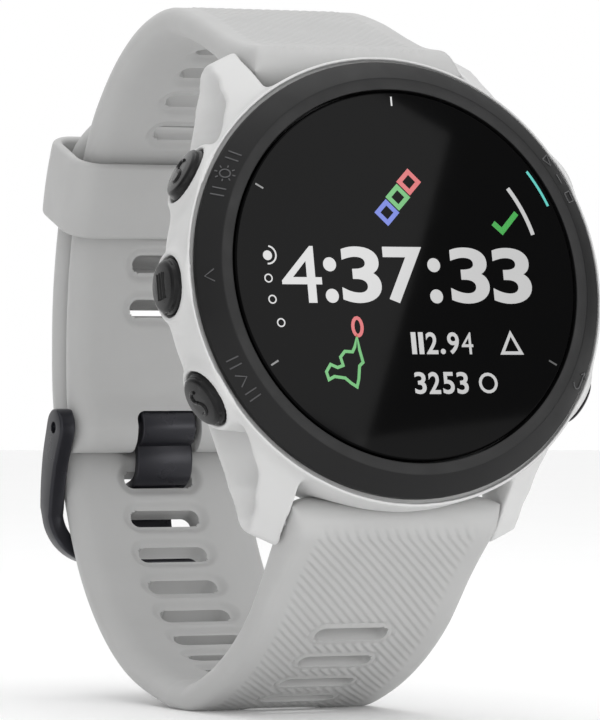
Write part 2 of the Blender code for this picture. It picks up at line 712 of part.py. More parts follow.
def main():
    build_dial()
    build_case_body({name: button_frame("case_" + name, angle)
                     for name, angle in BUTTONS_DEG.items()})
    build_electronics()
    build_back()
    for name, angle in BUTTONS_DEG.items():
        build_button(name, button_frame("button_" + name, angle))
    build_band()
    build_spring_bar("upper", 1)
    build_spring_bar("lower", -1)
    build_buckle()
    build_keeper()


clear_scene()
PARTS = new_collection("gps_running_watch")
CUTTERS = new_collection("cutters")
CASE = make_empty("case_frame", DATUM, (math.radians(90 - TILT_DEG), 0, 0))
BAND = make_empty("band_frame", DATUM)
main()
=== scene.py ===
"""Looks of the GPS running watch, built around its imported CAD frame.

Lengths are in millimetres, in two sets of axes that share the dial's datum point. The case
axes have x to 3 o'clock, y to 12 o'clock and z out of the dial. The band axes are upright.
"""
import json
import math

import bmesh
import bpy
import numpy as np
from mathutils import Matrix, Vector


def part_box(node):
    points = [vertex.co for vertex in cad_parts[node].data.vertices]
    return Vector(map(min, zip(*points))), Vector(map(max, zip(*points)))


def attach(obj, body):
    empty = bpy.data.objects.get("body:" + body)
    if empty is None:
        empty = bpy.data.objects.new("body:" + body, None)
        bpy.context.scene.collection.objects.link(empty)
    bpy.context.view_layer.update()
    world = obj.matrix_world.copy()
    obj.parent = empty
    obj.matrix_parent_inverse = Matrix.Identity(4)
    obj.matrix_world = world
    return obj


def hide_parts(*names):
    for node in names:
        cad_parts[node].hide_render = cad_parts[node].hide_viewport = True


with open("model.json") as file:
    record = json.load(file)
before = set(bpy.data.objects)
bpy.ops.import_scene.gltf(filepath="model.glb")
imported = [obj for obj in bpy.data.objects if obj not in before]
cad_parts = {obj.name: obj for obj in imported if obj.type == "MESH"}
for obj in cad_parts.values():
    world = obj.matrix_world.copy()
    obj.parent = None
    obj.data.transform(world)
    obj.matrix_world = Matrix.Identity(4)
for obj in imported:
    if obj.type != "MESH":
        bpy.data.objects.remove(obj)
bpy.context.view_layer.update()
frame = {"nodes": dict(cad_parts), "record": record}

import openvdb
from mathutils import Matrix, Vector

MM = 0.001
TILT = math.radians(11.7)
CASE_TURN = np.array(((1, 0, 0),
                      (0, math.sin(TILT), -math.cos(TILT)),
                      (0, math.cos(TILT), math.sin(TILT))))
BAND_TURN = np.eye(3)

# The design's driving sizes, as in the CAD.
LENS_TOP, LENS_R, LENS_MID = -0.35, 17.83, -0.975
BEZEL_INNER_R, BEZEL_STEP_R, BEZEL_R, BEZEL_FOOT, BEZEL_EDGE = 18.05, 19.18, 21.25, -2.65, -1.93
CASE_R, CASE_RIM, CASE_FLOOR, CAVITY_R = 21.85, -2.35, -11.2, 18.6
COVER_R, COVER_FACE, WINDOW_FACE = 16.65, -11.7, -13.3
LUG_INNER, BAR_Y, BAR_Z, HEAD_R = 11.2, 22.0, -8.9, 2.3
BUTTON_Z, BUTTON_R, BUTTON_FACE = -6.0, 2.7, 23.05
BUTTONS_DEG = {"light": 151.0, "up": 180.0, "down": 209.0, "start": 29.0, "back": -29.0}
BAND_WIDTH_LUG, BAND_WIDTH_REAR, BAND_THICKNESS, TAPER_LENGTH = 22.0, 20.6, 2.9, 40.0
SLOT_LENGTH, SLOT_HEIGHT = 7.7, 1.95
PIN, FAR_BAR, BUCKLE_INNER_X, BUCKLE_WALL = (57.0, -15.0), (59.1, -28.3), 10.55, 1.7
KEEPER_AT, KEEPER_DEG = (56.42, 9.7), 21.0
NOTCH_WIDTH = 7.2
GROUND = -42.6

UPPER_PATH = [(12.8, 22.0), (16.4, 22.5), (20.3, 23.6), (26.4, 25.6), (32.8, 26.8), (38.8, 25.9),
              (44.2, 23.6), (48.9, 20.3), (52.7, 16.3), (55.6, 11.2), (57.6, 5.6),
              (58.9, -1.0), (59.3, -7.5), (59.1, -15.2)]
LOWER_PATH = [(2.72, -25.07), (7.6, -29.4), (11.9, -34.0), (16.2, -37.3), (20.7, -39.8),
              (25.2, -41.6), (29.0, -42.6), (33.0, -42.6), (38.0, -41.7), (43.0, -40.3),
              (47.5, -38.1), (51.5, -35.1), (55.0, -31.4), (57.7, -27.2), (59.8, -22.6),
              (61.5, -18.0), (62.8, -12.6), (63.1, -7.5), (62.8, -1.0), (61.4, 6.0),
              (59.0, 12.1), (56.8, 16.2), (55.5, 18.0)]
TONGUE_PATH = [(57.0, -16.4), (56.6, -18.2), (56.9, -19.9), (58.1, -20.85), (60.4, -21.6),
               (61.7, -22.7), (62.0, -24.5), (61.0, -28.5)]

lens_low, lens_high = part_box("lens")
DATUM = np.array((lens_low + lens_high) / 2) / MM - CASE_TURN @ np.array((0, 0, LENS_MID))


# ---------------- materials

def node(tree, kind, inputs=(), **settings):
    """New node; each of its inputs takes a constant or, from an output socket, a link."""
    new = tree.nodes.new(kind)
    for key, value in settings.items():
        setattr(new, key, value)
    for key, value in dict(inputs).items():
        if isinstance(value, bpy.types.NodeSocket):
            tree.links.new(value, new.inputs[key])
        else:
            new.inputs[key].default_value = value
    return new


def noise(tree, coords, size_mm, detail=3.0, stretch=None):
    """Noise whose features are about the given size, in object space."""
    if stretch:
        coords = node(tree, "ShaderNodeMapping",
                      {"Vector": coords, "Scale": stretch}).outputs["Vector"]
    return node(tree, "ShaderNodeTexNoise", {
        "Vector": coords, "Scale": 1.0 / (size_mm * MM), "Detail": detail}).outputs["Fac"]


def spread(tree, value, low, high, usual=(0.3, 0.7)):
    """The value's usual range, mapped to low..high."""
    return node(tree, "ShaderNodeMapRange", {
        "Value": value, "From Min": usual[0], "From Max": usual[1], "To Min": low,
        "To Max": high}).outputs["Result"]


def blend(tree, share, first, second):
    return node(tree, "ShaderNodeMix", {"Factor": share, "A": first, "B": second},
                data_type="RGBA").outputs["Result"]


def finish(name, colour, roughness, metallic=0.0, vary=0.04, patch_mm=6.0, grain_mm=0.18,
           grain=0.15, depth_mm=0.02, stretch=None, coat=0.0, edge_highlight=None, sockets=None):
    """Moulded or machined surface: colour patches, uneven gloss, fine grain, and a painted
    highlight that lightens sharp convex edges.
    """
    mat = bpy.data.materials.new(name)
    mat.use_nodes = True
    tree = mat.node_tree
    shader = tree.nodes["Principled BSDF"]
    coords = node(tree, "ShaderNodeTexCoord").outputs["Object"]
    shown = blend(tree, spread(tree, noise(tree, coords, patch_mm), 0, 1),
                  (*[c * (1 - vary) for c in colour], 1),
                  (*[min(1, c * (1 + vary)) for c in colour], 1))
    # Painted highlight: sharp convex edges (high pointiness) are blended towards a lighter edge
    # colour.
    if edge_highlight:
        edges = node(tree, "ShaderNodeNewGeometry").outputs["Pointiness"]
        shown = blend(tree, spread(tree, edges, 0, 0.6, (0.52, 0.62)), shown, (*edge_highlight, 1))
    tree.links.new(shown, shader.inputs["Base Color"])
    gloss = spread(tree, noise(tree, coords, patch_mm * 0.4), roughness * 0.88,
                   min(1, roughness * 1.12))
    tree.links.new(gloss, shader.inputs["Roughness"])
    bump = node(tree, "ShaderNodeBump", {
        "Strength": grain, "Distance": depth_mm * MM,
        "Height": noise(tree, coords, grain_mm, 4.0, stretch)})
    tree.links.new(bump.outputs["Normal"], shader.inputs["Normal"])
    for socket, value in {"Metallic": metallic, "Coat Weight": coat, **(sockets or {})}.items():
        shader.inputs[socket].default_value = value
    return mat


def lit(name, colour, strength):
    """A lit part of the display, with the gloss of the lens over it."""
    mat = finish(name, [c * 0.01 for c in colour], 0.12, vary=0.02, grain=0.02)
    shader = mat.node_tree.nodes["Principled BSDF"]
    shader.inputs["Emission Color"].default_value = (*colour, 1)
    shader.inputs["Emission Strength"].default_value = strength
    return mat


FINISHES = {
    "case_polymer": finish("case_polymer", (0.60, 0.60, 0.597), 0.42, grain_mm=0.12,
                           grain=0.12, vary=0.015),
    "bezel_polymer": finish("bezel_polymer", (0.009, 0.009, 0.0093), 0.42, grain_mm=0.1,
                            grain=0.2, vary=0.06, sockets={"Specular IOR Level": 0.22}),
    "lens_glass": finish("lens_glass", (0.0016, 0.0016, 0.0017), 0.05, grain=0.0, vary=0.05,
                         sockets={"Specular IOR Level": 0.035}),
    "silicone": finish("silicone", (0.465, 0.465, 0.462), 0.58, grain_mm=0.16, grain=0.22,
                       vary=0.02, sockets={"Sheen Weight": 0.15, "Sheen Roughness": 0.4}),
    # The lighter edge colours of black_metal and button_metal are painted highlights on their
    # bevels and rims.
    "black_metal": finish("black_metal", (0.016, 0.016, 0.021), 0.30, metallic=0.45,
                          grain_mm=0.09, grain=0.12, stretch=(0.15, 1, 1),
                          edge_highlight=(0.05, 0.05, 0.06)),
    "button_metal": finish("button_metal", (0.007, 0.007, 0.0074), 0.25, grain_mm=0.08,
                           grain=0.1, edge_highlight=(0.02, 0.02, 0.02),
                           sockets={"Specular IOR Level": 0.2}),
    "steel": finish("steel", (0.60, 0.60, 0.61), 0.30, metallic=1.0, grain_mm=0.08,
                    grain=0.15, stretch=(0.12, 1, 1)),
    "black_rubber": finish("black_rubber", (0.018, 0.018, 0.018), 0.7),
    "dark_plastic": finish("dark_plastic", (0.045, 0.045, 0.047), 0.5),
    "circuit_board": finish("circuit_board", (0.015, 0.10, 0.045), 0.4, vary=0.2, patch_mm=1.5),
    "cell_foil": finish("cell_foil", (0.62, 0.63, 0.65), 0.35, metallic=1.0, grain_mm=0.6,
                        grain=0.3),
    "gold_contact": finish("gold_contact", (0.80, 0.58, 0.24), 0.25, metallic=1.0),
    "sensor_glass": finish("sensor_glass", (0.012, 0.008, 0.010), 0.10, grain=0.0, coat=0.4),
    "display": finish("display", (0.010, 0.010, 0.012), 0.2, grain=0.05),
    "bezel_marks": finish("bezel_marks", (0.075, 0.075, 0.078), 0.45, grain_mm=0.08),
    "grey_light": lit("grey_light", (0.60, 0.60, 0.60), 0.85),
    "dim_light": lit("dim_light", (0.18, 0.18, 0.18), 0.5),
    "green_light": lit("green_light", (0.02, 0.38, 0.04), 0.9),
    "red_light": lit("red_light", (0.60, 0.02, 0.03), 0.9),
    "blue_light": lit("blue_light", (0.03, 0.09, 0.60), 0.9),
    "teal_light": lit("teal_light", (0.10, 0.62, 0.55), 0.9),
}


# ---------------- pieces

def register(obj, look, body, stands_for=()):
    """Give an object its finish and its place on the frame."""
    obj.data.materials.clear()
    obj.data.materials.append(FINISHES[look])
    bpy.context.scene.collection.objects.link(obj)
    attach(obj, body)
    if stands_for:
        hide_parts(*stands_for)
    return obj


def to_world(points, turn):
    return (np.asarray(points, float) @ turn.T + DATUM) * MM


def mesh_piece(name, points, faces, turn, look, body, stands_for=(), smooth_deg=40,
               refine=None):
    """Piece from points and faces in millimetres; refine(bm) may rework it in metres."""
    mesh = bpy.data.meshes.new(name)
    mesh.from_pydata(to_world(points, turn).tolist(), [], faces)
    if refine:
        bm = bmesh.new()
        bm.from_mesh(mesh)
        refine(bm)
        bmesh.ops.recalc_face_normals(bm, faces=bm.faces)
        bm.to_mesh(mesh)
        bm.free()
    mesh.shade_smooth()
    mesh.set_sharp_from_angle(angle=math.radians(smooth_deg))
    return register(bpy.data.objects.new(name, mesh), look, body, stands_for)


def bm_piece(name, bm, turn, look, body, stands_for=(), smooth_deg=40):
    """Piece from a bmesh in millimetres."""
    bmesh.ops.recalc_face_normals(bm, faces=bm.faces)
    place = Matrix.Translation(Vector(DATUM) * MM) @ Matrix(turn.tolist()).to_4x4()
    bmesh.ops.transform(bm, matrix=place @ Matrix.Scale(MM, 4), verts=bm.verts)
    mesh = bpy.data.meshes.new(name)
    bm.to_mesh(mesh)
    bm.free()
    mesh.shade_smooth()
    mesh.set_sharp_from_angle(angle=math.radians(smooth_deg))
    return register(bpy.data.objects.new(name, mesh), look, body, stands_for)


def mesh_from_curve(curve):
    """A curve's surface as a mesh; the curve itself is removed."""
    holder = bpy.data.objects.new(curve.name, curve)
    bpy.context.scene.collection.objects.link(holder)
    mesh = bpy.data.meshes.new_from_object(
        holder.evaluated_get(bpy.context.evaluated_depsgraph_get()))
    bpy.data.objects.remove(holder)
    bpy.data.curves.remove(curve)
    return mesh


def bevelled_curve(lines, dimensions, bevel, resolution):
    curve = bpy.data.curves.new("bevelled", "CURVE")
    curve.dimensions = dimensions
    curve.bevel_depth = bevel
    curve.bevel_resolution = resolution
    for line in lines:
        spline = curve.splines.new("POLY")
        spline.points.add(len(line) - 1)
        for target, point in zip(spline.points, line):
            target.co = (*point, 1)
    return curve


def add_curve(bm, curve, axes=Matrix.Identity(4)):
    """Add a curve's surface to a bmesh, turned to other axes."""
    mesh = mesh_from_curve(curve)
    mesh.transform(axes)
    bm.from_mesh(mesh)
    bpy.data.meshes.remove(mesh)
    bmesh.ops.remove_doubles(bm, verts=bm.verts, dist=0.001)


def rod_piece(name, lines, radius, resolution, look, body):
    """Fine round bars along lines of points in the case axes, as one piece."""
    curve = bevelled_curve(lines, "3D", radius, resolution)
    curve.use_fill_caps = True
    bm = bmesh.new()
    add_curve(bm, curve)
    bm_piece(name, bm, CASE_TURN, look, body, smooth_deg=75)


def filleted(profile, steps=4):
    """Profile of (radius, height, fillet) corners with each corner rounded off."""
    points = []
    for i, (r, z, fillet) in enumerate(profile):
        here = Vector((r, z))
        if not fillet or i in (0, len(profile) - 1):
            points.append((r, z))
            continue
        before = Vector(profile[i - 1][:2]) - here
        after = Vector(profile[i + 1][:2]) - here
        reach = min(fillet, before.length * 0.45, after.length * 0.45)
        start = here + before.normalized() * reach
        end = here + after.normalized() * reach
        for k in range(steps + 1):
            t = k / steps
            points.append(tuple((1 - t) ** 2 * start + 2 * t * (1 - t) * here + t * t * end))
    return points


def lathe(profile, steps, rounding_steps=4):
    """Revolved profile about z, closed when its first radius isn't zero."""
    points = filleted(profile, rounding_steps)
    closed = points[0][0] > 1e-6
    if closed:
        points.append(points[0])
    bm = bmesh.new()
    verts = [bm.verts.new((r, 0, z)) for r, z in points]
    edges = [bm.edges.new(pair) for pair in zip(verts, verts[1:])]
    bmesh.ops.spin(bm, geom=verts + edges, axis=(0, 0, 1), cent=(0, 0, 0), dvec=(0, 0, 0),
                   angle=math.tau, steps=steps, use_duplicate=False)
    bmesh.ops.remove_doubles(bm, verts=bm.verts, dist=0.002)
    return bm


def button_lean(angle_deg):
    """Turn that stands a button, made along z, on its own radius of the case."""
    return (Matrix.Rotation(math.radians(angle_deg), 4, "Z")
            @ Matrix.Rotation(math.pi / 2, 4, "Y"))


# ---------------- case, by signed distance

def hard_max(*fields):
    return np.maximum.reduce(np.broadcast_arrays(*fields))


def soft_max(a, b, k):
    """The larger of two distances, with a rounded edge of size k where they meet."""
    h = np.maximum(k - np.abs(a - b), 0.0) / k
    return np.maximum(a, b) + 0.25 * k * h * h


def soft_min(a, b, k):
    return -soft_max(-a, -b, k)


def cut_away(a, b, k):
    return soft_max(a, -b, k)


def plane(x, y, z, corners, inside=(13.0, 16.0, -7.0)):
    """Distance from the plane through three corners, negative on the inner side."""
    p, q, r = (np.array(c, float) for c in corners)
    normal = np.cross(q - p, r - p)
    normal /= np.linalg.norm(normal)
    if normal @ (np.array(inside) - p) > 0:
        normal = -normal
    return ((x - p[0]) * normal[0] + (y - p[1]) * normal[1] + (z - p[2]) * normal[2])


def round_cone(x, y, z, a, b, radius_a, radius_b):
    a, b = np.array(a), np.array(b)
    along = b - a
    t = ((x - a[0]) * along[0] + (y - a[1]) * along[1] + (z - a[2]) * along[2]) / (along @ along)
    t = np.clip(t, 0, 1)
    away = np.sqrt((x - a[0] - t * along[0]) ** 2 + (y - a[1] - t * along[1]) ** 2
                   + (z - a[2] - t * along[2]) ** 2)
    return away - (radius_a + t * (radius_b - radius_a))


def lug_field(x, y, z):
    """One lug at +x +y: a sloping front plate, flared sides and a flat back."""
    tip = (LUG_INNER, 24.17, -10.19)
    outer_tip = (14.6, 22.77, -9.89)
    shoulder = (16.5, 14.1, -3.6)
    floor = CASE_FLOOR + 0.12
    front = plane(x, y, z, [(LUG_INNER, 19.9, -4.3), tip, outer_tip])
    upper = plane(x, y, z, [(LUG_INNER, 19.9, -4.3), outer_tip, shoulder])
    side = plane(x, y, z, [shoulder, outer_tip, (15.5, 20.7, floor)])
    rear_side = plane(x, y, z, [shoulder, (15.5, 20.7, floor), (17.0, 13.2, floor)])
    end = plane(x, y, z, [tip, outer_tip, (14.4, 22.4, floor)])
    field = soft_max(front, upper, 1.6)
    field = soft_max(field, z - CASE_RIM, 0.5)
    field = soft_max(field, soft_max(side, rear_side, 1.2), 0.45)
    field = soft_max(field, soft_max(end, floor - z, 0.4), 0.4)
    return soft_max(field, LUG_INNER - x, 0.35)


def button_axes(x, y, z):
    """For each button: the distance out along its axis, and the distance from that axis."""
    for angle in BUTTONS_DEG.values():
        cos, sin = math.cos(math.radians(angle)), math.sin(math.radians(angle))
        yield x * cos + y * sin, np.hypot(-x * sin + y * cos, z - BUTTON_Z)


def case_field(x, y, z):
    """The whole shell: drum, lugs with their side hollows, button collars, and what is cut."""
    r = np.hypot(x, y)
    ax, ay = np.abs(x), np.abs(y)
    turn_in = np.clip((-7.4 - z) / 3.8, 0, 1)
    depth = 3.0 - 2.3 * smooth_step((ay - 10.0) / 3.5)
    wall = CASE_R - 0.05 * (CASE_RIM - z) - depth * (1 - np.sqrt(1 - turn_in ** 2))
    field = soft_max(r - wall, z - CASE_RIM, 0.3)
    field = soft_max(field, CASE_FLOOR - z, 0.6)
    field = soft_min(field, lug_field(ax, ay, z), 0.7)
    knots = [((17.3, 12.9, -7.3), 3.4), ((16.4, 17.0, -8.1), 2.75), ((15.7, 20.0, -9.2), 1.75),
             ((15.0, 22.0, -10.0), 0.75)]
    pocket = 99.0
    for (start, start_radius), (end, end_radius) in zip(knots, knots[1:]):
        pocket = soft_min(pocket, round_cone(ax, ay, z, start, end, start_radius, end_radius), 0.5)
    field = cut_away(field, soft_max(pocket, -10.72 - z, 0.25), 0.6)
    for out, from_axis in button_axes(x, y, z):
        flare = 3.38 + 0.5 * np.clip(22.2 - out, 0, 2.2) ** 1.3
        collar = soft_max(from_axis - flare, out - 22.2, 0.35)
        field = soft_min(field, soft_max(collar, 19.0 - out, 0.3), 0.9)
    bar = soft_max(np.hypot(ay - BAR_Y, z - BAR_Z) - (HEAD_R + 0.15), ax - LUG_INNER, 2.0)
    field = cut_away(field, bar, 0.3)
    field = cut_away(field, hard_max(r - (BEZEL_R + 0.25), BEZEL_FOOT - 0.3 - z), 0.12)
    field = cut_away(field, hard_max(r - CAVITY_R, -8.9 - z), 0.2)
    field = cut_away(field, hard_max(r - (COVER_R + 0.3), z + 9.7), 0.2)
    field = cut_away(field, r - 13.2, 0.2)
    for out, from_axis in button_axes(x, y, z):
        field = cut_away(field, hard_max(from_axis - (BUTTON_R + 0.2), 20.6 - out), 0.12)
        field = cut_away(field, hard_max(from_axis - 1.1, 17.0 - out), 0.1)
    return field


def build_case():
    step = 0.16
    low, high = np.array((-23.4, -25.0, -12.0)), np.array((23.4, 25.0, -1.8))
    counts = np.ceil((high - low) / step).astype(int)
    x, y, z = (low[i] + step * np.arange(counts[i], dtype=np.float32) for i in range(3))
    field = case_field(x[:, None, None], y[None, :, None], z[None, None, :])
    grid = openvdb.FloatGrid(3 * step)
    grid.copyFromArray(np.clip(field, -3 * step, 3 * step).astype(np.float32))
    points, quads = grid.convertToQuads(0.0)

    def soften(bm):
        for _ in range(3):
            bmesh.ops.smooth_vert(bm, verts=bm.verts, factor=0.4, use_axis_x=True,
                                  use_axis_y=True, use_axis_z=True)

    mesh_piece("case_shell", low + points * step, quads.tolist(), CASE_TURN, "case_polymer",
               "case", ["case_body"], 180, soften)


def cone_height(radius):
    """Height of the bezel's sloping face at a radius."""
    share = (radius - BEZEL_STEP_R) / (BEZEL_R - BEZEL_STEP_R)
    return LENS_TOP + share * (BEZEL_EDGE - LENS_TOP)


def build_dial():
    bezel = lathe([
        (BEZEL_INNER_R, LENS_TOP - 0.3, 0), (BEZEL_INNER_R, LENS_TOP, 0.12),
        (BEZEL_STEP_R, LENS_TOP, 0.1), (BEZEL_R - 0.08, BEZEL_EDGE, 0.12),
        (BEZEL_R - 0.12, BEZEL_FOOT, 0.1),
        (16.7, BEZEL_FOOT, 0), (16.7, -2.15, 0), (BEZEL_INNER_R, -2.15, 0)], 192)
    bm_piece("bezel_ring", bezel, CASE_TURN, "bezel_polymer", "case", ["bezel"],
             28)
    lens = lathe([(0, LENS_TOP, 0), (LENS_R - 0.16, LENS_TOP, 0.05),
                  (LENS_R, LENS_TOP - 0.16, 0.05), (LENS_R, -1.6, 0.05), (0, -1.6, 0)], 192)
    bm_piece("lens_disc", lens, CASE_TURN, "lens_glass", "case", ["lens"], 28)


# ---------------- marks drawn as strokes

def arc(cx, cy, rx, ry, start, end, steps=16):
    """Points of an elliptical arc between two angles in degrees."""
    angles = [math.radians(start + (end - start) * i / steps) for i in range(steps + 1)]
    return [(cx + rx * math.cos(a), cy + ry * math.sin(a)) for a in angles]


def add_stroke(bm, points, width, height, closed=False):
    """Flat ribbon of constant width along a line of points, at a height."""
    line = [Vector(p) for p in points]
    if closed:
        line = [line[-1]] + line + [line[0]]
    rows = []
    span = range(1, len(line) - 1) if closed else range(len(line))
    for i in span:
        before = line[max(i - 1, 0)]
        after = line[min(i + 1, len(line) - 1)]
        first = (line[i] - before).normalized() if i > 0 else (after - line[i]).normalized()
        second = (after - line[i]).normalized() if i < len(line) - 1 else first
        middle = (first + second).normalized()
        across = Vector((-middle.y, middle.x)) * width / 2 / max(0.5, middle.dot(first))
        rows.append((bm.verts.new((*(line[i] + across), height)),
                     bm.verts.new((*(line[i] - across), height))))
    pairs = list(zip(rows, rows[1:]))
    if closed:
        pairs.append((rows[-1], rows[0]))
    for (a, b), (c, d) in pairs:
        bm.faces.new((a, b, d, c))


def add_numeral(bm, symbol, left, base, width, height, weight, height_z):
    """A bold numeral filling a cell exactly."""
    curve = bpy.data.curves.new("numeral", "FONT")
    curve.body = symbol
    curve.offset = weight if symbol != "4" else 0.0
    curve.resolution_u = 8
    mesh = mesh_from_curve(curve)
    points = np.array([vert.co[:2] for vert in mesh.vertices])
    low, high = points.min(axis=0), points.max(axis=0)
    scaled = (points - low) / (high - low) * (width, height) + (left, base)
    verts = [bm.verts.new((x, y, height_z)) for x, y in scaled]
    for polygon in mesh.polygons:
        bm.faces.new([verts[i] for i in polygon.vertices])
    bpy.data.meshes.remove(mesh)


def add_number(bm, text, left, base, height, pitch, weight, height_z, width):
    """A row of numerals and round points from its left edge; sizes are shares of the height."""
    at = left
    for symbol in text:
        if symbol in ".:":
            radius = 0.125 * height
            for y in [radius] if symbol == "." else [radius, height * 0.68]:
                add_disc(bm, at + radius, base + y, radius, height_z)
            at += radius * 2 + (pitch - width) * height
            continue
        narrow = 0.42 if symbol == "1" else 1.0
        add_numeral(bm, symbol, at, base, width * height * narrow, height, weight, height_z)
        at += (pitch - width * (1 - narrow)) * height


def add_disc(bm, x, y, radius, height_z, steps=24):
    bm.faces.new([bm.verts.new((px, py, height_z))
                  for px, py in arc(x, y, radius, radius, 0, 360 - 360 / steps, steps - 1)])


def lit_piece(name, draw, look):
    """Marks of one colour, lying on the lens."""
    bm = bmesh.new()
    draw(bm)
    bmesh.ops.recalc_face_normals(bm, faces=bm.faces)
    bmesh.ops.reverse_faces(bm, faces=[face for face in bm.faces if face.normal.z < 0])
    points = [vert.co.copy() for vert in bm.verts]
    bm.verts.index_update()
    faces = [[vert.index for vert in face.verts] for face in bm.faces]
    bm.free()
    mesh_piece(name, points, faces, CASE_TURN, look, "case")


def tick(bm, clock_deg, z):
    angle = math.radians(90 - clock_deg)
    line = [(r * math.cos(angle), r * math.sin(angle)) for r in (16.45, 17.35)]
    add_stroke(bm, line, 0.17, z)


def build_display():
    z = LENS_TOP + 0.012

    def digits(bm):
        for text, left in (("4", -13.15), (":", -8.75), ("37", -6.95), (":", 2.2), ("33", 4.5)):
            add_number(bm, text, left, -2.72, 5.45, 0.83, 0.022, z, 0.76)
        add_number(bm, "112.94", -0.25, -7.62, 2.12, 0.70, 0.02, z, 0.58)
        add_number(bm, "3253", -0.3, -11.45, 2.12, 0.70, 0.02, z, 0.58)

    lit_piece("display_digits", digits, "grey_light")

    def marks(bm):
        add_stroke(bm, arc(0, 0, 14.4, 14.4, 36.5, 16.3), 0.42, z)
        tick(bm, 0, z)
        add_stroke(bm, arc(-14.4, 1.85, 0.85, 0.85, 80, -95), 0.16, z)
        add_disc(bm, -14.42, 1.8, 0.47, z)
        for x, y in ((-14.52, -0.38), (-14.3, -2.4), (-13.62, -4.62)):
            add_stroke(bm, arc(x, y, 0.37, 0.37, 0, 345), 0.13, z, closed=True)
        add_stroke(bm, [(9.35, -7.5), (10.35, -5.6), (11.35, -7.5)], 0.32, z, closed=True)
        add_stroke(bm, arc(7.5, -10.4, 0.85, 0.85, 0, 345), 0.3, z, closed=True)

    lit_piece("display_marks", marks, "grey_light")
    lit_piece("display_dim_ticks",
              lambda bm: [tick(bm, hour * 30, z) for hour in (4, 8, 10)], "dim_light")

    def badge(corner):
        """One of the three diamonds of a stepped, generic badge."""
        x, y = corner
        return lambda bm: add_stroke(
            bm, [(x, y - 1.0), (x + 1.0, y), (x, y + 1.0), (x - 1.0, y)], 0.45, z, closed=True)

    for colour, corner in (("red", (1.05, 9.05)), ("green", (-0.25, 7.55)),
                           ("blue", (-1.55, 6.05))):
        lit_piece(f"display_badge_{colour}", badge(corner), f"{colour}_light")
    lit_piece("display_teal_arc", lambda bm: add_stroke(
        bm, arc(0, 0, 17.2, 17.2, 36.6, 23.6), 0.26, z), "teal_light")
    lit_piece("display_check", lambda bm: add_stroke(
        bm, [(9.65, 5.15), (10.55, 4.35), (12.25, 6.15)], 0.55, z), "green_light")
    route = [(-5.9, -5.9), (-5.75, -7.2), (-5.5, -8.4), (-5.9, -8.75), (-6.1, -10.0),
             (-6.35, -10.75), (-6.9, -10.4), (-7.5, -9.9), (-8.6, -9.75), (-9.2, -10.05),
             (-9.4, -9.3), (-8.9, -8.6), (-8.2, -8.9), (-7.6, -8.7), (-7.8, -7.9),
             (-7.3, -7.35), (-6.5, -7.4), (-6.2, -6.9)]
    lit_piece("display_route", lambda bm: add_stroke(bm, route, 0.3, z, closed=True),
              "green_light")
    lit_piece("display_route_loop", lambda bm: add_stroke(
        bm, arc(-5.75, -5.0, 0.48, 0.85, 0, 345), 0.34, z, closed=True), "red_light")


def bezel_glyphs():
    """Generic outline signs for the buttons: (middle angle, strokes along the ring and out)."""
    ring = arc(0, 0, 0.42, 0.42, 0, 360)
    sun = [ring] + [[(0.62 * math.cos(a), 0.62 * math.sin(a)), (0.85 * math.cos(a),
                    0.85 * math.sin(a))] for a in (math.tau * i / 8 for i in range(8))]
    dashes = [[(side * x, -0.55), (side * x, 0.55)] for side in (-1, 1) for x in (1.6, 2.3)]
    chevron = [[(-0.6, -0.4), (0, 0.35), (0.6, -0.4)]]
    down = [[(x, -y) for x, y in line] for line in chevron]
    play = [[(-0.5 - 2.0, -0.6), (0.5 - 2.0, 0), (-0.5 - 2.0, 0.6), (-0.5 - 2.0, -0.6)]]
    stop = [[(1.5, -0.5), (2.5, -0.5), (2.5, 0.5), (1.5, 0.5), (1.5, -0.5)]]
    bar = [[(-0.5, 0), (0.5, 0)]]
    back = [[(0.9, -0.45)] + arc(0.5, 0.05, 0.5, 0.5, -60, 90, 10) + [(-0.9, 0.55)],
            [(-0.5, 0.95), (-0.95, 0.55), (-0.5, 0.15)]]
    return [(151.0, sun + dashes), (180.0, chevron), (209.0, down + [
        [(side * x, -0.5), (side * x, 0.5)] for side in (-1, 1) for x in (1.35, 2.1)]),
        (29.0, play + bar + stop), (-29.0, back)]


def build_bezel_marks():
    """The signs as fine raised lines on the bezel's sloping face."""
    middle = (BEZEL_STEP_R + BEZEL_R) / 2
    for k, (angle, strokes) in enumerate(bezel_glyphs()):
        lines = []
        for stroke in strokes:
            line = []
            for along, out in stroke:
                turn = math.radians(angle) - along / middle
                radius = middle + out
                line.append((radius * math.cos(turn), radius * math.sin(turn),
                             cone_height(radius)))
            lines.append(line)
        rod_piece(f"bezel_sign_{k + 1}", lines, 0.07, 1, "bezel_marks", "case")


# ---------------- buttons

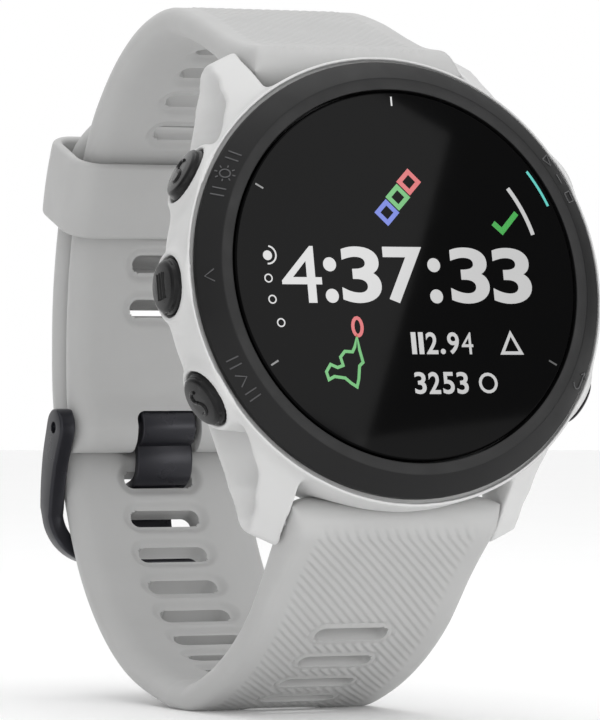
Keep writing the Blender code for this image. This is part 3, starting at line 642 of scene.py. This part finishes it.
def build_button(name, angle):
    """Stepped cap with its stem, and a raised grip on its face."""
    lean = button_lean(angle)
    profile = [(0, BUTTON_FACE, 0), (1.2, BUTTON_FACE - 0.03, 0.2), (2.2, BUTTON_FACE - 0.14, 0.2),
               (2.46, BUTTON_FACE - 0.34, 0.1), (2.50, 22.34, 0.05), (2.57, 22.24, 0.03),
               (BUTTON_R, 22.12, 0.08), (BUTTON_R, 21.35, 0.05), (0.9, 21.35, 0), (0.9, 17.5, 0),
               (0, 17.5, 0)]
    cap = lathe(profile, 64)
    bmesh.ops.transform(cap, matrix=Matrix.Translation((0, 0, BUTTON_Z)) @ lean, verts=cap.verts)
    bm_piece(f"button_{name}_cap", cap, CASE_TURN, "button_metal", "button_" + name,
             ["button_" + name], 32)
    if name == "up":
        lines = [[(x, -1.25), (x, 1.25)] for x in (-0.55, 0, 0.55)]
    else:
        lines = [arc(-0.05, 0.62, 0.62, 0.55, 60, 275, 12),
                 arc(0.05, -0.62, 0.62, 0.55, 240, 455, 12)]
    crown = 0.03
    raised = [[lean @ Vector((x, y, BUTTON_FACE - 0.02 - crown * (x * x + y * y)))
               + Vector((0, 0, BUTTON_Z)) for x, y in line] for line in lines]
    rod_piece(f"button_{name}_grip", raised, 0.2, 3, "button_metal", "button_" + name)


# ---------------- straps

class Path:
    """Smooth outer face line of a strap in the y-z plane, with its inward normals."""

    def __init__(self, points, inward):
        knots = [np.array(p, float) for p in points]
        knots = [2 * knots[0] - knots[1]] + knots + [2 * knots[-1] - knots[-2]]
        dense = []
        for a, b, c, d in zip(knots, knots[1:], knots[2:], knots[3:]):
            for t in np.arange(20) / 20:
                dense.append(0.5 * (2 * b + (c - a) * t + (2 * a - 5 * b + 4 * c - d) * t * t
                                    + (3 * b - a - 3 * c + d) * t ** 3))
        dense.append(knots[-2])
        self.line = np.array(dense)
        self.line[:, 1] = np.maximum(self.line[:, 1], GROUND)
        step = np.diff(self.line, axis=0)
        self.run = np.concatenate([[0], np.cumsum(np.hypot(*step.T))])
        self.length = self.run[-1]
        tangent = np.gradient(self.line, self.run, axis=0)
        kernel = np.ones(15) / 15
        tangent = np.stack([np.convolve(np.pad(tangent[:, i], 7, "edge"), kernel, "valid")
                            for i in range(2)], axis=1)
        tangent /= np.linalg.norm(tangent, axis=1)[:, None]
        self.tangent = tangent
        self.normal = np.stack([tangent[:, 1], -tangent[:, 0]], axis=1) * inward

    def at(self, s, depth):
        """Points at a distance along the line and a depth below it; the ends run on straight."""
        inside = np.clip(s, 0, self.length)
        over = s - inside
        out = []
        for i in range(2):
            base = np.interp(inside, self.run, self.line[:, i])
            out.append(base + over * np.interp(inside, self.run, self.tangent[:, i])
                       + depth * np.interp(inside, self.run, self.normal[:, i]))
        return out


def smooth_step(t):
    t = np.clip(t, 0, 1)
    return t * t * (3 - 2 * t)


def slot_distance(s, x, centre):
    """Signed distance from a slot's outline, in the strap's surface."""
    radius = SLOT_HEIGHT / 2
    return np.hypot(np.maximum(np.abs(x) - (SLOT_LENGTH / 2 - radius), 0), s - centre) - radius


def notch_distance(s, x, start):
    """Signed distance from the tongue's notch, which is open at the strap's end."""
    corner = 1.0
    dx = np.abs(x) - (NOTCH_WIDTH / 2 - corner)
    ds = (start + corner) - s
    return np.minimum(np.maximum(dx, ds), 0) + np.hypot(np.maximum(dx, 0),
                                                        np.maximum(ds, 0)) - corner


RIB_PITCH, RIB_START = 1.06, -1.6
CELL = RIB_PITCH / 5
RIB_PROFILE = np.array([0.0, 0.17, 0.14, 0.09, 0.04])
FAR_REACH, NOTCH_START, TAIL_LENGTH, TAIL_ROUNDING = 2.5, 74.9, 7.0, 1.3
EDGE_WIDTH, OUTER_ROUNDING, INNER_ROUNDING = 1.35, 1.2, 2.5


def hole_distance(s, x, slots, notch_start=None):
    """Signed distance from the nearest hole's outline, in the strap's surface."""
    value = np.full(np.shape(x), 1e3)
    for centre in slots:
        value = np.minimum(value, slot_distance(s, x, centre))
    if notch_start is not None:
        value = np.minimum(value, notch_distance(s, x, notch_start))
    return value


def strap_rows(length, far_cap):
    """Distances along the strap: even steps, with closer rows round each rounded end."""
    rows = list(np.arange(0, length, CELL)) + [length]
    if rows[-1] - rows[-2] < CELL * 0.4:
        rows.pop(-2)
    angles = np.radians(np.linspace(0, 90, 12))[1:]
    near = [-HEAD_R * math.sin(a) for a in angles][::-1]
    far = [length + FAR_REACH * math.sin(a) for a in angles] if far_cap else []
    return np.array(near + rows + far), len(near)


def strap_grid(rows, length, tail):
    """Distance along and across at each grid point, and the strap's half width there."""
    lug_half = BAND_WIDTH_LUG / 2
    core = lug_half - EDGE_WIDTH
    rise = EDGE_WIDTH * (1 - np.cos(np.radians(np.linspace(0, 90, 9))))[:-1]
    unit = np.concatenate([rise - lug_half,
                           np.linspace(-core, core, int(round(2 * core / CELL)) + 1),
                           (lug_half - rise)[::-1]])
    along = np.repeat(rows[:, None], len(unit), axis=1)
    half = lug_half + (BAND_WIDTH_REAR / 2 - lug_half) * np.clip(along / TAPER_LENGTH, 0, 1)
    if tail:
        left = np.clip(length - along, 0, TAIL_LENGTH) / TAIL_LENGTH
        half = half * (0.45 + 0.55 * np.sqrt(1 - (1 - left) ** 2))
    beyond = np.abs(unit) - core
    across = np.where(beyond > 0, np.sign(unit) * (half - EDGE_WIDTH + beyond),
                      unit * (half - EDGE_WIDTH) / core)
    return along, across, half


def circle_share(t):
    """Height of a quarter circle, as a share, at the share t of its reach from its top."""
    return np.sqrt(np.clip(1 - t ** 2, 0, 1))


def strap_shape(s, length, far_cap):
    """Depth of the strap's middle, and half its thickness, before its edges are rounded."""
    inner = BAND_THICKNESS + (2 * HEAD_R - BAND_THICKNESS) * (1 - smooth_step(s / 9.0))
    if far_cap:
        inner += (2 * far_cap - BAND_THICKNESS) * smooth_step((s - length + 4.0) / 4.0)
    half = inner / 2 * circle_share(np.minimum(s, 0) / HEAD_R)
    if far_cap:
        half = half * circle_share(np.maximum(s - length, 0) / FAR_REACH)
    else:
        half = half * circle_share(np.maximum(s - length + TAIL_ROUNDING, 0) / TAIL_ROUNDING)
    return inner / 2, half


def strap_relief(s, x, from_edge, slots, rib_share):
    """Height of the ribs and of the groove round each slot."""
    from_slot = hole_distance(s, x, slots)
    ribbed = smooth_step((s - RIB_START) / 0.8) * smooth_step((from_edge - 2.5) / 0.5)
    groove = np.exp(-((from_slot - 0.55) / 0.1) ** 2) * 0.15
    lowered = 0.5 * (1 - smooth_step((from_slot - 0.1) / 1.05))
    return ribbed * (from_slot > 0.62) * (rib_share - 0.09) - groove, lowered


def single_edges(quads):
    """Edges that belong to one quad only."""
    edges = np.concatenate([quads[:, [i, (i + 1) % 4]] for i in range(4)])
    key = np.sort(edges, axis=1)
    order = np.lexsort((key[:, 1], key[:, 0]))
    same = np.all(key[order][1:] == key[order][:-1], axis=1)
    single = np.ones(len(order), bool)
    single[1:] &= ~same
    single[:-1] &= ~same
    return edges[order][single]


def cell_corners(grid):
    """A grid's values at the four corners of each of its cells, in order round the cell."""
    return grid[:-1, :-1], grid[1:, :-1], grid[1:, 1:], grid[:-1, 1:]


def build_strap(name, node_name, points, inward, body, slots, far_cap=0, notch_start=None):
    """A strap as two faces over one grid, with its slots, ribs, rims and rounded edges."""
    path = Path(points, inward)
    rows, skip = strap_rows(path.length, far_cap)
    s, x, half = strap_grid(rows, path.length, not far_cap)
    row, column = np.indices(x.shape)
    ribs = RIB_PROFILE[(column - row + skip) % 5]

    def gap(s, x):
        return hole_distance(s, x, slots, notch_start)

    # The grid's points beside a hole's outline are moved onto it.
    border = np.zeros(x.shape, bool)
    border[0, :] = border[-1, :] = border[:, 0] = border[:, -1] = True
    near = (np.abs(gap(s, x)) < CELL * 0.74) & ~border
    inside = (gap(s, x) < 0) & ~near
    small = 0.01
    for _ in range(2):
        slope_s = gap(s + small, x) - gap(s - small, x)
        slope_x = gap(s, x + small) - gap(s, x - small)
        step = gap(s, x) / np.maximum(np.hypot(slope_s, slope_x), 1e-6)
        s, x = np.where(near, s - step * slope_s, s), np.where(near, x - step * slope_x, x)

    middle, half_depth = strap_shape(s, path.length, far_cap)
    from_edge = half - np.abs(x)

    def rounded(reach):
        share = circle_share(np.clip(1 - from_edge / reach, 0, 1))
        share[:, 0] = share[:, -1] = 0
        return half_depth * share

    depth = rounded(OUTER_ROUNDING)
    relief, lowered = strap_relief(s, x, from_edge, slots, ribs)
    thick = depth > 0.5
    faces_yz = [path.at(s, middle - depth - relief * thick),
                path.at(s, middle + rounded(INNER_ROUNDING) - lowered * thick)]
    vertices = np.concatenate([np.stack([x, y, z], axis=-1).reshape(-1, 3)
                               for y, z in faces_yz])

    index = np.arange(x.size).reshape(x.shape)
    lower = np.where(border, index, index + x.size).reshape(-1)
    bad = np.any(cell_corners(inside), axis=0)
    centre = gap((s[:-1, :-1] + s[1:, 1:]) / 2, (x[:-1, :-1] + x[1:, 1:]) / 2)
    bad |= (centre < 0) & (near[:-1, :-1] | near[1:, 1:])
    quads = np.stack([corner[~bad] for corner in cell_corners(index)], axis=1)
    under = lower[quads][:, ::-1]
    rim = single_edges(quads)
    on_border = border.reshape(-1)
    rim = rim[~(on_border[rim[:, 0]] & on_border[rim[:, 1]])]
    faces = quads.tolist() + under.tolist()
    faces += [list(dict.fromkeys([q, p, int(lower[p]), int(lower[q])])) for p, q in rim.tolist()]
    used = np.unique(np.concatenate([part.ravel() for part in (quads, under, rim)]))
    remap = np.full(2 * x.size, -1)
    remap[used] = np.arange(len(used))
    mesh_piece(name, vertices[used], [[int(remap[i]) for i in face] for face in faces],
               BAND_TURN, "silicone", body, [node_name], 60,
               lambda bm: bmesh.ops.dissolve_degenerate(bm, dist=0.004 * MM, edges=bm.edges))


def build_band():
    lower_slots = [13.6 + 4.61 * i for i in range(20)]
    upper_slots = [29.9 + 4.87 * i for i in range(8)]
    build_strap("lower_strap_skin", "lower_strap", LOWER_PATH, -1, "lower_band",
                [s - 0.02 * max(0, s - 45) for s in lower_slots])
    build_strap("upper_strap_skin", "upper_strap", UPPER_PATH, 1, "upper_band",
                [s - (1.1 if s < 46 else 0) for s in upper_slots], 2.05, NOTCH_START)


def rounded_ring(half_a, half_b, radius, steps):
    """A rounded rectangle's points, each with its outward direction."""
    ring = []
    for k, (side_a, side_b) in enumerate(((1, 1), (-1, 1), (-1, -1), (1, -1))):
        for turn in np.radians(90 * k + np.linspace(0, 90, steps)):
            cos, sin = math.cos(turn), math.sin(turn)
            ring.append((side_a * (half_a - radius) + radius * cos,
                         side_b * (half_b - radius) + radius * sin, cos, sin))
    return ring


def filled_ring(ring, gap):
    """The ring with more points along its straight sides."""
    dense = []
    for p, q in zip(ring, ring[1:] + ring[:1]):
        parts = max(1, int(math.hypot(q[0] - p[0], q[1] - p[1]) / gap))
        dense += [[p[j] + (q[j] - p[j]) * k / parts for j in range(4)] for k in range(parts)]
    return dense


def build_keeper():
    """Soft loop round both straps: a crowned strip swept round a rounded rectangle."""
    width, height, corner, wall, reach, crown = 23.1, 8.6, 2.2, 1.1, 4.0, 0.14
    loop = filled_ring(rounded_ring(width / 2, height / 2, corner, 13), 0.8)
    section = filled_ring(rounded_ring(wall / 2, reach, 0.5, 7), 0.8)
    cos, sin = math.cos(math.radians(KEEPER_DEG)), math.sin(math.radians(KEEPER_DEG))
    points = []
    for x, y, out_x, out_y in loop:
        for t, w, _, _ in section:
            rise = t + (crown * (1 - (w / reach) ** 2) if t > 0 else 0.0)
            across = y + out_y * rise
            points.append((x + out_x * rise, KEEPER_AT[0] + across * cos - w * sin,
                           KEEPER_AT[1] + across * sin + w * cos))
    n, m = len(loop), len(section)
    faces = [[i * m + j, ((i + 1) % n) * m + j, ((i + 1) % n) * m + (j + 1) % m,
              i * m + (j + 1) % m] for i in range(n) for j in range(m)]
    mesh_piece("keeper_loop", points, faces, BAND_TURN, "silicone", "keeper",
               ["keeper"], 60)


# ---------------- buckle

def add_plate(bm, outline, thickness, bevel):
    """Add a plate of a given outline in the y-z plane, centred on x, with rounded edges."""
    curve = bevelled_curve([[(y, z, 0) for y, z in outline]], "2D", bevel, 3)
    curve.fill_mode = "BOTH"
    curve.extrude = thickness / 2 - bevel
    curve.offset = -bevel
    curve.splines[0].use_cyclic_u = True
    add_curve(bm, curve, Matrix(((0, 0, 1, 0), (1, 0, 0, 0), (0, 1, 0, 0), (0, 0, 0, 1))))


def even_line(points, spacing):
    """A strap path's points as a plain list, evenly spaced."""
    path = Path(points, 1)
    count = max(2, round(path.length / spacing))
    s = np.linspace(0, path.length, count + 1)
    y, z = path.at(s, 0)
    return list(zip(y, z)), s / path.length


def ribbon(points, width, cap_steps):
    """Outline of a bar of a given half width along a line, with round ends."""
    line = [Vector(p) for p in points]
    normals = []
    for i in range(len(line)):
        step = (line[min(i + 1, len(line) - 1)] - line[max(i - 1, 0)]).normalized()
        normals.append(Vector((step.y, -step.x)))

    def cap(centre, start):
        return [tuple(centre + Matrix.Rotation(math.pi * k / cap_steps, 2) @ start * width)
                for k in range(1, cap_steps)]

    there = [tuple(p + n * width) for p, n in zip(line, normals)]
    back = [tuple(p - n * width) for p, n in zip(line, normals)][::-1]
    return there + cap(line[-1], normals[-1]) + back + cap(line[0], -normals[0])


def bar_along_x(reach, radius, centre, rounding):
    """A solid round bar along x with rounded ends."""
    bm = lathe([(0, reach, 0), (radius, reach, rounding), (radius, -reach, rounding),
                (0, -reach, 0)], 40)
    place = Matrix.Translation((0, *centre)) @ Matrix.Rotation(math.pi / 2, 4, "Y")
    bmesh.ops.transform(bm, matrix=place, verts=bm.verts)
    return bm


def drill(obj, cutter):
    """Cut a millimetre bmesh in band axes out of a finished piece."""
    place = Matrix.Translation(Vector(DATUM) * MM) @ Matrix.Scale(MM, 4)
    bmesh.ops.recalc_face_normals(cutter, faces=cutter.faces)
    bmesh.ops.transform(cutter, matrix=place, verts=cutter.verts)
    mesh = bpy.data.meshes.new("drill")
    cutter.to_mesh(mesh)
    cutter.free()
    tool = bpy.data.objects.new("drill", mesh)
    bpy.context.scene.collection.objects.link(tool)
    cut = obj.modifiers.new("drill", "BOOLEAN")
    cut.object = tool
    cut.solver = "EXACT"
    obj.data = bpy.data.meshes.new_from_object(
        obj.evaluated_get(bpy.context.evaluated_depsgraph_get()))
    obj.modifiers.clear()
    bpy.data.objects.remove(tool)
    bpy.data.meshes.remove(mesh)


def bow_stations():
    """Middle points and half widths along the bow, from one head to the other."""
    head, foot, bend = 1.95, 1.05, 4.6
    line, share = even_line([PIN, (58.5, -18.5), (59.3, -22.5), (59.2, -26.0), FAR_BAR], 0.5)
    arm = [Vector((-BUCKLE_INNER_X - BUCKLE_WALL / 2, y, z)) for y, z in line]
    down, up = (arm[-1] - arm[-2]).normalized(), (arm[0] - arm[1]).normalized()
    round_head = [(arm[0] + up * head * math.sin(a), head * math.cos(a))
                  for a in np.radians(np.linspace(88, 8, 11))]
    stem = [(p, head + (foot - head) * t) for p, t in zip(arm, share)
            if (arm[-1] - p).length > bend]
    pivot = arm[-1] - down * bend + Vector((bend, 0, 0))
    corner = [(pivot + down * bend * math.sin(a) - Vector((bend * math.cos(a), 0, 0)), foot)
              for a in np.radians(np.linspace(6, 90, 15))]
    half = round_head + stem + corner
    return half + [(Vector((-p.x, p.y, p.z)), w) for p, w in reversed(half)], down


def build_buckle():
    """Bow bent from one bar: two arms with round heads, and a far side with rounded corners."""
    stations, down = bow_stations()
    bow = bmesh.new()
    rings = []
    for i, (p, w) in enumerate(stations):
        along = (stations[min(i + 1, len(stations) - 1)][0]
                 - stations[max(i - 1, 0)][0]).normalized()
        run = along if abs(along.x) < 0.05 else down
        side = Vector((0, run.z, -run.y)).normalized()
        if side.y > 0:
            side = -side
        through = along.cross(side).normalized()
        rings.append([bow.verts.new(p + through * t + side * s) for t, s, _, _
                      in rounded_ring(BUCKLE_WALL / 2, w, min(0.32, w * 0.6), 5)])
    for first, second in zip(rings, rings[1:]):
        for k in range(len(first)):
            n = (k + 1) % len(first)
            bow.faces.new((first[k], first[n], second[n], second[k]))
    bow.faces.new(rings[0])
    bow.faces.new(rings[-1])
    shell = bm_piece("buckle_bow", bow, BAND_TURN, "black_metal", "buckle_frame",
                     ["buckle_frame"], 40)
    drill(shell, bar_along_x(20, 0.62, PIN, 0.05))

    prong = bar_along_x(3.0, 2.05, PIN, 0.3)
    add_plate(prong, ribbon(even_line(TONGUE_PATH, 0.4)[0], 0.45, 6), 6.2, 0.22)
    bm_piece("buckle_prong", prong, BAND_TURN, "black_metal", "buckle_tongue",
             ["buckle_tongue"], 50)


# ---------------- back

def build_back():
    cover = lathe([(COVER_R, -10.4, 0), (COVER_R, -11.3, 0.15), (15.9, COVER_FACE, 0.3),
                   (10.9, COVER_FACE, 0.5), (9.9, -12.9, 0.35), (7.35, -12.9, 0.12),
                   (7.35, -12.0, 0), (6.3, -12.0, 0), (6.3, -10.4, 0)], 160, 6)
    bm_piece("back_shell", cover, CASE_TURN, "case_polymer", "case",
             ["back_cover"], 40)
    window = lathe([(0, -12.3, 0), (7.05, -12.3, 0), (7.05, -13.0, 0.1), (6.6, WINDOW_FACE, 0.3),
                    (0, WINDOW_FACE, 0)], 128, 5)
    bm_piece("sensor_lens", window, CASE_TURN, "sensor_glass", "case",
             ["sensor_window"], 40)


# ---------------- camera, light, floor

def dress_frame():
    """Every CAD node that still shows gets its slot's procedural finish."""
    slots = {row["node"]: row["material_slot"] for row in frame["record"]["subparts"]}
    for name, obj in frame["nodes"].items():
        look = FINISHES[slots[name]]
        for material_slot in obj.material_slots:
            material_slot.material = look


def look_at(obj, place, target):
    obj.location = Vector(place)
    obj.rotation_euler = (Vector(target) - Vector(place)).to_track_quat("-Z", "Y").to_euler()


def build_camera():
    azimuth, elevation, distance = math.radians(26.64), math.radians(-0.91), 520.0
    back = Vector((-math.sin(azimuth) * math.cos(elevation),
                   -math.cos(azimuth) * math.cos(elevation), math.sin(elevation)))
    right = Vector((math.cos(azimuth), -math.sin(azimuth), 0))
    up = back.cross(right)
    target = Vector(DATUM) - 10.285 * right - 8.078 * up
    camera = bpy.data.objects.new("camera", bpy.data.cameras.new("camera"))
    bpy.context.scene.collection.objects.link(camera)
    look_at(camera, (Vector(DATUM) + distance * back) * MM, target * MM)
    camera.data.lens = 275.6
    camera.data.sensor_width = 36
    camera.data.clip_start = 0.01
    bpy.context.scene.camera = camera


def area_light(name, place, target, size, power, size_y=None):
    light = bpy.data.lights.new(name, "AREA")
    light.energy = power
    light.shape = "RECTANGLE"
    light.size = size
    light.size_y = size_y or size
    obj = bpy.data.objects.new(name, light)
    bpy.context.scene.collection.objects.link(obj)
    look_at(obj, place, target)
    obj.visible_camera = False
    return obj


def reflect_in_lens():
    """A soft card, seen in the lens only, whose straight edge crosses the dial's mirror image."""
    camera = bpy.context.scene.camera
    eye = CASE_TURN.T @ (np.array(camera.location) / MM - DATUM)
    mirrored = np.array((eye[0], eye[1], 2 * LENS_TOP - eye[2]))
    top, foot = np.array((8.0, 14.0, LENS_TOP)), np.array((-7.3, -17.9, LENS_TOP))
    along = (top - foot) / np.linalg.norm(top - foot)
    outward = np.array((-along[1], along[0], 0))
    grow = 300.0 / np.linalg.norm(eye)
    width, length, power = 46.0, 66.0, 0.12
    seat = (top + foot) / 2 + outward * width / 2
    centre = seat + (seat - mirrored) * grow
    card = area_light("dial_card", (0, 0, 0), (0, 0, -1), width * (1 + grow) * MM, power,
                      length * (1 + grow) * MM)
    axes = np.stack([outward, along, np.cross(outward, along)], axis=1)
    if axes[2, 2] < 0:
        axes[:, 1:] = -axes[:, 1:]
    card.matrix_world = (Matrix.Translation(to_world([centre], CASE_TURN)[0])
                         @ Matrix((CASE_TURN @ axes).tolist()).to_4x4())
    card.visible_diffuse = False


def build_world():
    """Soft light, stronger from the back, the front and above; the camera sees plain white."""
    world = bpy.data.worlds.new("studio")
    world.use_nodes = True
    tree = world.node_tree
    coords = node(tree, "ShaderNodeTexCoord").outputs["Generated"]
    total = 0.05
    for axis, strength in (((0, 1, 0), 1.0), ((0, -1, 0), 1.05), ((0, 0, 1), 1.25)):
        facing = node(tree, "ShaderNodeVectorMath", {0: coords, 1: axis},
                      operation="DOT_PRODUCT").outputs["Value"]
        for operation, inputs in (("MAXIMUM", {1: 0.0}), ("POWER", {1: 2.0}),
                                  ("MULTIPLY_ADD", {1: strength, 2: total})):
            facing = node(tree, "ShaderNodeMath", {0: facing, **inputs},
                          operation=operation).outputs["Value"]
        total = facing
    white = (1, 1, 1, 1)
    ambient = node(tree, "ShaderNodeBackground", {"Color": white, "Strength": total})
    backdrop = node(tree, "ShaderNodeBackground", {"Color": white})
    mix = node(tree, "ShaderNodeMixShader", {
        "Fac": node(tree, "ShaderNodeLightPath").outputs["Is Camera Ray"],
        1: ambient.outputs["Background"], 2: backdrop.outputs["Background"]})
    tree.links.new(mix.outputs["Shader"], tree.nodes["World Output"].inputs["Surface"])
    bpy.context.scene.world = world


def build_studio():
    """Four soft lamps, the lens's card, the world and a plain floor."""
    middle = (0, 0, 0.035)
    area_light("front", (-0.20, -0.60, 0.15), middle, 0.40, 0.5)
    area_light("left", (-0.55, -0.10, 0.20), middle, 0.35, 0.2)
    area_light("low_right", (0.22, -0.40, 0.05), (0, 0, 0.02), 0.2, 0.36)
    area_light("above", (0.05, 0.10, 0.60), middle, 0.40, 0.5)
    reflect_in_lens()
    build_world()
    bpy.context.scene.view_settings.view_transform = "Standard"

    floor_material = finish("floor_paper", (0.93, 0.93, 0.93), 0.7, vary=0.004, patch_mm=40,
                            grain=0.02, sockets={"Emission Color": (1, 1, 1, 1),
                                                 "Emission Strength": 0.05})
    bm = bmesh.new()
    bmesh.ops.create_circle(bm, cap_ends=True, segments=96, radius=1.6)
    mesh = bpy.data.meshes.new("floor")
    bm.to_mesh(mesh)
    bm.free()
    mesh.materials.append(floor_material)
    floor = bpy.data.objects.new("floor", mesh)
    bpy.context.scene.collection.objects.link(floor)


def main():
    dress_frame()
    build_case()
    build_dial()
    build_display()
    build_bezel_marks()
    for name, angle in BUTTONS_DEG.items():
        build_button(name, angle)
    build_band()
    build_keeper()
    build_buckle()
    build_back()
    build_camera()
    build_studio()


main()
